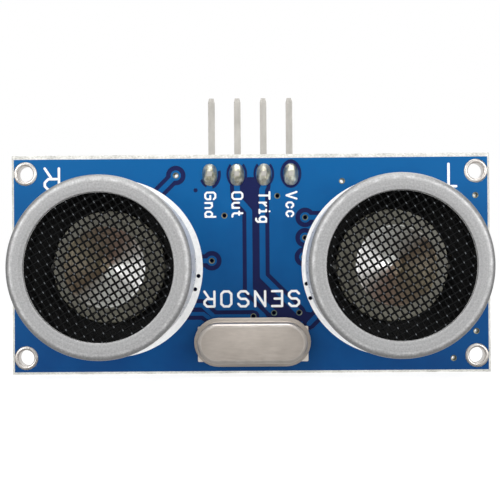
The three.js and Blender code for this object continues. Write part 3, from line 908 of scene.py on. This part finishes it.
def height_range(node):
    """The lowest and highest point of a node over the front of the board, and its radius."""
    low, high = box_mm(node)
    return BOARD_FRONT - high.y, BOARD_FRONT - low.y, (high.x - low.x) / 2


CAN_BASE_RADIUS = 7.9
CAN_WALL = 0.45
CAN_MOUTH = 6.45
CAN_EDGE = 0.5
CAN_LIP = 0.12


def can(name):
    """A drawn can: a narrower base, a rounded shoulder, a flat rim and an edge turned in round the mouth."""
    node = f"{name}_can"
    foot, top, radius = height_range(node)
    bore = CAN_BASE_RADIUS - CAN_WALL
    side = [(CAN_BASE_RADIUS, foot)]
    shoulder = arc(radius - CAN_EDGE, top - CAN_EDGE, CAN_EDGE, 0, 90, 12)
    edge = arc(CAN_MOUTH + CAN_LIP, top - CAN_LIP, CAN_LIP, 90, 180, 6)
    inside = [(CAN_MOUTH, top - CAN_WALL), (bore, top - CAN_WALL), (bore, foot)]
    # The satin finish of the face runs over the shoulder, as far as the last step of the edge.
    marks = [0] * len(side) + [1] * (len(shoulder) + len(edge) - 1) + [0] + [2] * len(inside)
    materials = [CAN_SIDE, can_face_look(node, radius - CAN_EDGE + 0.08), CAN_INSIDE_SHADE]
    profile = side + shoulder + edge + inside
    replace_turned(node, f"{name}_drawn_can", profile, materials, "can_aluminium", 192, marks)


def direction(degrees):
    turn = math.radians(degrees)
    return Vector((math.cos(turn), math.sin(turn)))


# Each family of wires: the direction across them, in degrees from +X in the board's plane, and their pitch.
WEAVE = [(31.1, 0.518), (120.6, 0.630)]


def woven_wire(shape, centre, y, reach, lift, own, other, index):
    """One wire of a plain weave: it passes over and under the wires of the other family in turn."""
    normal, across = direction(own[0]), direction(other[0])
    run = Vector((-normal.y, normal.x))
    distance = index * own[1]
    half = math.sqrt(reach**2 - distance**2)
    count = max(8, round(2 * half / other[1] * 6))
    rings = []
    for i in range(count + 1):
        point = normal * distance + run * (-half + 2 * half * i / count)
        bow = lift * math.cos(math.pi * (point.dot(across) / other[1] + index))
        ring = []
        for corner in range(6):
            turn = math.pi / 3 * corner
            out = point + normal * WIRE_RADIUS * math.cos(turn)
            ring.append((centre.x + out.x, y + bow + WIRE_RADIUS * math.sin(turn), centre.z + out.y))
        rings.append(ring)
    shape.rings(rings)


def screen(name):
    node = f"{name}_screen"
    low, high = box_mm(node)
    centre = centre_mm(node)
    reach = (high.x - low.x) / 2
    lift = (high.y - low.y) / 2 - WIRE_RADIUS
    first, second = WEAVE
    further_back = 0.012  # the second family stands a little further back, so its crests get no painted glints
    shape = Shape()
    layers = ((lift, first, second, centre.y), (-lift, second, first, centre.y + further_back))
    for bow, own, other, y in layers:
        most = int(reach / own[1])
        for index in range(-most, most + 1):
            woven_wire(shape, centre, y, reach, bow, own, other, index)
    piece = shape.piece(f"{name}_woven_screen", [WIRE], "screen_wire", smooth=1.2)
    piece.visible_shadow = False  # the sensor is lit inside as if through an open mouth
    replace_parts(piece, node)


def cone(name, painted_light_start):
    """A spun cone that flares a little towards its rounded lip."""
    node = f"{name}_cone"
    foot, lip, mouth = height_range(node)
    foot_radius = 1.1
    wall = 0.2
    outer = []
    inner = []
    steps = 14
    for i in range(steps + 1):
        share = i / steps
        flare = foot_radius + (mouth - foot_radius) * (0.8 * share + 0.2 * share**2)
        outer.append((flare, foot + (lip - foot - wall / 2) * share))
        inner.append((flare - wall, foot + wall + (lip - foot - wall * 1.5) * share))
    rim = arc(mouth - wall / 2, lip - wall / 2, wall / 2, 0, 180, 6)
    profile = [(0.02, foot), *outer, *rim, *inner[::-1], (0.02, foot + wall)]
    look = cone_look(node, painted_light_start)
    replace_turned(node, f"{name}_spun_cone", profile, [look], "formed_aluminium", 96, smooth=0.9)


def diaphragm(name):
    """A pressed disc with a slightly turned-down edge."""
    node = f"{name}_diaphragm"
    back, front, radius = height_range(node)
    profile = [(0.02, back), (radius - 0.1, back), (radius, back + 0.03), (radius, back + 0.1)]
    profile += [(radius - 0.08, front - 0.06), (radius - 0.35, front), (0.02, front)]
    look = diaphragm_look(node)
    replace_turned(node, f"{name}_pressed_diaphragm", profile, [look], "formed_aluminium", 96)


def paint_node(node, material, bevel=0.0):
    """Gives its material to a CAD node that stays, and rounds its edges by that many millimetres."""
    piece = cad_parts[node]
    piece.data.materials.clear()
    piece.data.materials.append(material)
    if bevel:
        rounding = piece.modifiers.new("rounded_edges", "BEVEL")
        rounding.width = bevel * MM
        rounding.segments = 3
        rounding.limit_method = "ANGLE"
        rounding.angle_limit = 0.6
        rounding.harden_normals = True


def transducers():
    for name, painted_light_start in zip(PAIR, (-140, 40)):
        can(name)
        screen(name)
        cone(name, painted_light_start)
        diaphragm(name)
        paint_node(f"{name}_base", CAN_FLOOR)
        paint_node(f"{name}_seat", SILICONE, 0.1)
        paint_node(f"{name}_piezo_disc", ALUMINA)
        for use in PIN_USES:
            paint_node(f"{name}_pin_{use}", LEAD_TIN, 0.08)
            paint_node(f"{name}_wire_{use}", LEAD_TIN)


# ---- crystal ----


def crystal_cover():
    """A drawn steel cup with a welded flange, from the flange up the wall and over the shoulder."""
    low, high = box_mm("crystal_cover")
    length, width = high.x - low.x, high.z - low.z
    foot, top = BOARD_FRONT - high.y, BOARD_FRONT - low.y
    flange_top = foot + 0.3
    flange_edge = 0.06
    to_wall = 0.4  # from the flange's edge to the wall
    fillet = 0.08
    shoulder = 0.36
    flange = [(0.03, foot), (0, foot + 0.05)]
    flange += [(flange_edge - a, b) for a, b in arc(0, flange_top - flange_edge, flange_edge, 0, 90, 4)]
    wall = [(to_wall - fillet + a, b) for a, b in arc(0, flange_top + fillet, fillet, 270, 360, 5)]
    turn_in = [(to_wall + shoulder - a, b) for a, b in arc(0, top - shoulder, shoulder, 0, 90, 8)]
    rings = []
    for inward, height in flange + wall + turn_in:
        outline = stadium(*place_of("crystal_cover"), length - 2 * inward, width - 2 * inward)
        rings.append(at_depth(outline, off_face(FRONT, height)))
    shoulder_start = len(flange + wall)
    shape = Shape()
    shape.rings(rings[: shoulder_start + 1], capped=False)
    shape.rings(rings[shoulder_start:], mark=1, capped=False)
    shape.cap(rings[0])
    shape.cap(rings[-1])
    cover = shape.piece("crystal_drawn_cover", [CASE_STEEL, CASE_EDGE_HIGHLIGHT], "nickel_steel", smooth=0.9)
    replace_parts(cover, "crystal_cover", "crystal_quartz_blank")


def crystal_spacer():
    """A plastic plate with rounded corners under the crystal."""
    low, high = box_mm("crystal_spacer")
    corner = 0.12
    left, right = low.x + corner, high.x - corner
    lower, upper = low.z + corner, high.z - corner
    outline = []
    for x, z, start in ((right, lower, 270), (right, upper, 0), (left, upper, 90), (left, lower, 180)):
        outline += arc(x, z, corner, start, start + 90, 5)
    layer = flat_layer(FRONT, [outline], circles(CRYSTAL_LEADS, 0.26, 16), 0, BOARD_FRONT - low.y)
    plate = layer.piece("crystal_seat_plate", [SPACER], "spacer_plastic", smooth=0.5)
    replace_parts(plate, "crystal_spacer")


def crystal():
    crystal_cover()
    crystal_spacer()
    paint_node("crystal_base", CASE_STEEL, 0.06)
    for i in (1, 2):
        paint_node(f"crystal_lead_{i}", LEAD_TIN)


# ---- header ----


def header():
    paint_node("header_body", BLACK_PLASTIC, 0.06)
    for i in range(1, 5):
        paint_node(f"header_pin_{i}", PIN_TIN, 0.06)


# ---- parts on the back ----

SOLDER_FOOT = -0.01  # solder reaches a little below the face of the board


class Footprint:
    """Places points given along a part, across it and above the back of the board."""

    def __init__(self, node):
        low, high = box_mm(node)
        self.centre = (low + high) / 2
        self.size = high - low
        self.upright = self.size.z > self.size.x
        self.length = max(self.size.x, self.size.z)
        self.width = min(self.size.x, self.size.z)
        self.height = high.y - BOARD_BACK

    def on_board(self, along, across):
        a, b = (-across, along) if self.upright else (along, across)
        return self.centre.x + a, self.centre.z + b

    def place(self, along, across, height):
        x, z = self.on_board(along, across)
        return (x, off_face(BACK, height), z)


def solder_section(half, top_half, rise):
    """A slice through a heap of solder: half its width at the foot and at the top, and how high it stands."""
    return [(-half, SOLDER_FOOT), (half, SOLDER_FOOT), (top_half, rise), (-top_half, rise)]


def moulded_body(shape, spot, length, width, height, dimple):
    """A moulded package with sloping sides, bevelled top edges and a dimple at its first lead."""
    corner = 0.08
    slope = 0.12
    foot = 0.1
    middle = (foot + height) / 2
    rings = []
    for inset, level in ((slope, foot), (0, middle - 0.04), (0, middle + 0.04), (slope, height - 0.06)):
        a, b = length / 2 - inset, width / 2 - inset
        outline = [(a - corner, -b), (a, -b + corner), (a, b - corner), (a - corner, b)]
        outline += [(-x, -y) for x, y in outline]
        rings.append([spot.place(x, y, level) for x, y in outline])
    shape.rings(rings)
    top = rectangle(0, 0, length - 2 * slope - 0.1, width - 2 * slope - 0.1)
    hollow = circle(-length / 2 + 0.75, -width / 2 + 0.75, dimple)
    drawn = [[spot.on_board(x, y) for x, y in outline] for outline in (top, hollow)]
    points, triangles, inside = arrange(drawn)
    levels = [1 if 1 in found else 0 for found in inside]
    stepped_sheet(shape, BACK, points, triangles, levels, [height, height - 0.05], height - 0.1)


def gull_wing(shape, spot, along, side, exit_across, exit_height, reach, width):
    """A flat lead that leaves the package, drops to the board and ends in a foot."""
    half = 0.18 / 2  # half its thickness
    knee = exit_across + 0.28
    heel = reach - 0.5
    spine = [(exit_across - 0.3, exit_height), (knee - 0.08, exit_height), (knee + 0.06, exit_height - 0.08)]
    spine += [(heel - 0.08, half + 0.08), (heel + 0.06, half), (reach - 0.02, half)]
    rings = []
    for (across, height), before, after in zip(spine, spine[:1] + spine, spine[1:] + spine[-1:]):
        angle = math.atan2(after[1] - before[1], after[0] - before[0])
        up = (-math.sin(angle) * half, math.cos(angle) * half)
        section = []
        for edge, over in ((-1, -1), (1, -1), (1, 1), (-1, 1)):
            spread = across + over * up[0]
            section.append(spot.place(along + edge * width / 2, side * spread, height + over * up[1]))
        rings.append(section)
    shape.rings(rings, mark=1)


def foot_solder(shape, spot, along, side, reach, width):
    """The tinned pad under a lead, and the fillet at its toe."""
    half = width / 2 + 0.07
    pad = ((reach - 0.7, 0.03), (reach + 0.35, 0.012))
    toe = ((reach - 0.05, 0.12), (reach + 0.2, 0.06))
    for stations in (pad, toe):
        rings = []
        for across, rise in stations:
            section = solder_section(half, half, rise)
            rings.append([spot.place(along + a, side * across, height) for a, height in section])
        shape.rings(rings)


def chip(node, leads, lead_width, body_length, body_width):
    """A chip. Leads lists where the leads of each of its two sides stand along the package."""
    spot = Footprint(node)
    package = Shape()
    is_small = len(leads[0]) + len(leads[1]) < 4
    moulded_body(package, spot, body_length, body_width, spot.height, 0.12 if is_small else 0.35)
    reach = (spot.size.x if is_small else spot.width) / 2
    solder = Shape()
    for side, places in zip((-1, 1), leads):
        for along in places:
            gull_wing(package, spot, along, side, body_width / 2, spot.height * 0.5, reach, lead_width)
            foot_solder(solder, spot, along, side, reach, lead_width)
    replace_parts(package.piece(f"{node}_package", [EPOXY, LEAD_TIN], "chip_epoxy", smooth=0.4), node)
    solder.piece(f"{node}_solder", [SOLDER], "tin_plating", smooth=0.4)


def chips():
    pitch = 1.27
    for node, count in (("amplifier_chip", 7), ("controller_chip", 8), ("driver_chip", 8)):
        row = [(i - (count - 1) / 2) * pitch for i in range(count)]
        chip(node, [row, row], 0.42, count * pitch - 0.25, 3.9)
    chip("transistor", [[-0.95, 0.95], [0]], 0.4, 2.9, 1.3)


def passive(node, body, slot, cap_length):
    """A two-terminal chip part: a ceramic body between tinned ends that stand a little proud of it."""
    spot = Footprint(node)
    shape = Shape()
    half = spot.length / 2
    skin = 0.03
    soft = 0.05  # the bevel along the top edges
    stations = [(-half, 0.06), (-half + 0.05, 0), (-half + cap_length, 0), (-half + cap_length, skin)]
    stations += [(-along, inset) for along, inset in stations[::-1]]
    rings = []
    for along, inset in stations:
        side, top = spot.width / 2 - inset, spot.height - inset
        section = [(-side, inset + 0.01), (side, inset + 0.01), (side, top - soft), (side - soft, top)]
        section += [(-side + soft, top), (-side, top - soft)]
        rings.append([spot.place(along, across, level) for across, level in section])
    for pair, mark in zip(zip(rings, rings[1:]), (1, 1, 1, 0, 1, 1, 1)):
        shape.rings(pair, mark=mark, capped=False)
    shape.cap(rings[0], 1)
    shape.cap(rings[-1], 1)
    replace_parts(shape.piece(f"{node}_body", [body, LEAD_TIN], slot, smooth=0.5), node)
    fillet = Shape()
    for side in (-1, 1):
        rings = []
        for out, rise in ((-0.25, 0.04), (0, spot.height * 0.55), (0.12, spot.height * 0.2), (0.32, 0.03)):
            wide = spot.width / 2 + 0.06 - max(out, 0) * 0.2
            section = solder_section(wide, wide * 0.9, rise)
            rings.append([spot.place(side * (half + out), across, level) for across, level in section])
        fillet.rings(rings)
    fillet.piece(f"{node}_solder", [SOLDER], "tin_plating", smooth=0.9)


def passives():
    for node in CAPACITORS:
        passive(node, CAPACITOR, "capacitor_ceramic", 0.35)
    for node in RESISTORS:
        passive(node, RESISTOR, "resistor_ceramic", 0.3)


# ---- the whole sensor ----

board_core()
mask_sheet("mask_front", FRONT, *front_copper())
mask_sheet("mask_back", BACK, *back_copper())
printed_front()
printed_back()
screw_rings()
via_barrels()
via_fill()
header_joints()
back_joints()
transducers()
crystal()
header()
chips()
passives()


# ---- camera, lights and floor ----


def camera():
    """Nearly straight in front of the sensor."""
    data = bpy.data.cameras.new("camera")
    data.sensor_width = 36
    data.lens = 101.086
    data.clip_start = 0.01
    made = add_object("camera", data)
    made.location = Vector((0.7121, -133.424, 0.3650)) * MM
    made.rotation_euler = [math.radians(angle) for angle in (90.4309, 0.4190, 0.3465)]
    bpy.context.scene.camera = made


def collection_of(name, pieces):
    made = bpy.data.collections.new(name)
    for piece in pieces:
        made.objects.link(bpy.data.objects[piece])
    return made


def softbox(name, place, size, brightness, only=()):
    """A square light aimed at the sensor, that many times as bright as a white wall.

    With only, a list of piece names, it lights just those, and only the last may cast a shadow.
    """
    light = bpy.data.lights.new(name, "AREA")
    light.size = size * MM
    light.energy = brightness * math.pi * (size * MM) ** 2
    made = add_object(name, light)
    made.location = Vector(place) * MM
    made.rotation_euler = (-Vector(place)).to_track_quat("-Z", "Y").to_euler()
    if only:
        made.light_linking.receiver_collection = collection_of(f"{name}_pieces", only)
        made.light_linking.blocker_collection = collection_of(f"{name}_blockers", only[-1:])


def surroundings():
    """A white backdrop. Shiny parts reflect grey, a bright hoop, a dark hoop, and light behind."""
    world = bpy.data.worlds.new("studio")
    world.use_nodes = True
    nodes = Nodes(world.node_tree)

    def greys(letter, start, stops):
        """The brightness along an axis, from start to 1."""
        along = nodes.spread(nodes.axis(nodes.out("TexCoord", {}, "Generated"), letter), start, 1)
        return nodes.ramp(along, [(position, (grey, grey, grey, 1)) for position, grey in stops])

    hoops = [(0, 0.5), (0.35, 0.5), (0.45, 0.65), (0.52, 0.6), (0.6, 0.35), (0.68, 0.3), (0.85, 0.9), (1, 1)]
    reflected = nodes.vector("MULTIPLY", greys("Y", -1, hoops), greys("Z", 0, [(0.1, 0.8), (0.6, 1)]))
    is_seen = nodes.out("LightPath", {}, "Is Camera Ray")
    backdrop = nodes.out("Mix", {0: is_seen, 6: reflected, 7: (1, 1, 1, 1)}, 2, data_type="RGBA")
    world.node_tree.links.new(backdrop, world.node_tree.nodes["Background"].inputs["Color"])
    bpy.context.scene.world = world


def studio():
    softbox("left_front_light", (-135, -265, 62), 130, 3.6)
    softbox("right_front_light", (135, -265, 62), 130, 3.6)
    for name, place in zip(PAIR, ((-160, -250, 70), (160, -250, 30))):
        inside = [f"{name}_spun_cone", f"{name}_pressed_diaphragm"]
        softbox(f"{name}_inner_light", place, 130, 14, inside)
    softbox("key_light", (-150, -170, 170), 130, 1.4)
    softbox("top_light", (0, -80, 260), 180, 2.6)
    softbox("fill_light", (190, -150, 30), 110, 1.4)
    softbox("back_light", (60, 150, 190), 140, 1.8)
    surroundings()
    bpy.context.scene.view_settings.view_transform = "Standard"


def floor():
    """A wide pale floor at the foot of the board."""
    size = 6000
    height = cad_box[0].z / MM - 0.02
    corners = [Vector((x, y, height)) * MM for x, y in rectangle(0, 0, size, size)]
    mesh = bpy.data.meshes.new("floor")
    mesh.from_pydata(corners, [], [[0, 1, 2, 3]])
    glow = [("Emission Color", (1, 1, 1, 1)), ("Emission Strength", 0.85)]
    look = Look("floor_paper", (120, 120, 120), 0.8, constants=glow)
    look.paint(look.noise(40, 3), (0.3, (116, 116, 116)), (0.7, (124, 124, 124)))
    mesh.materials.append(look.material)
    made = add_object("floor", mesh)
    made.visible_glossy = False


camera()
studio()
floor()
